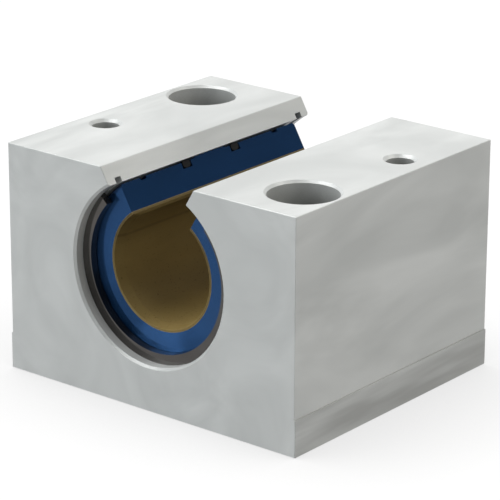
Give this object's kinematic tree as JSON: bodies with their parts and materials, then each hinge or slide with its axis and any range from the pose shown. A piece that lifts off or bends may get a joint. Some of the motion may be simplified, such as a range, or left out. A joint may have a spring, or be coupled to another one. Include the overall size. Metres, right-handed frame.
{
  "type": "linear bearing block",
  "caption": "Open pillow block with a slotted, self-aligning plain linear bearing for a round shaft carried on a rail.",
  "frame": {"origin": "middle of the mounting face, midway between the reference edges and the two ends", "axes": "+X across the block, +Y along the shaft, +Z from the mounting face up to the slot"},
  "size_m": [0.078, 0.067, 0.051],
  "materials": {
    "pillow_block": "clear anodised, satin",
    "retaining_ring": "phosphated spring steel, dark satin",
    "bearing_shell": "blue anodised, satin",
    "bearing_liner": "filled sliding polymer, gold brown, smooth",
    "o_ring": "matt black",
    "locating_screw": "black oxide"
  },
  "bodies": {
    "block": {"pillow_block": "pillow_block", "front_retaining_ring": "retaining_ring", "rear_retaining_ring": "retaining_ring", "locating_screw": "locating_screw"},
    "o_rings": {"front_o_ring": "o_ring", "rear_o_ring": "o_ring"},
    "bearing": {"bearing_shell": "bearing_shell", "bearing_liner": "bearing_liner"}
  },
  "joints": [
    {"name": "bearing_yaw", "type": "hinge", "parent": "block", "child": "o_rings", "pos_m": [0, 0, 0.03], "axis": [0, 0, 1], "range_deg": [-0.5, 0.5], "stiffness_Nm_per_rad": 5},
    {"name": "bearing_pitch", "type": "hinge", "parent": "o_rings", "child": "bearing", "pos_m": [0, 0, 0.03], "axis": [1, 0, 0], "range_deg": [-0.5, 0.5], "stiffness_Nm_per_rad": 5}
  ]
}
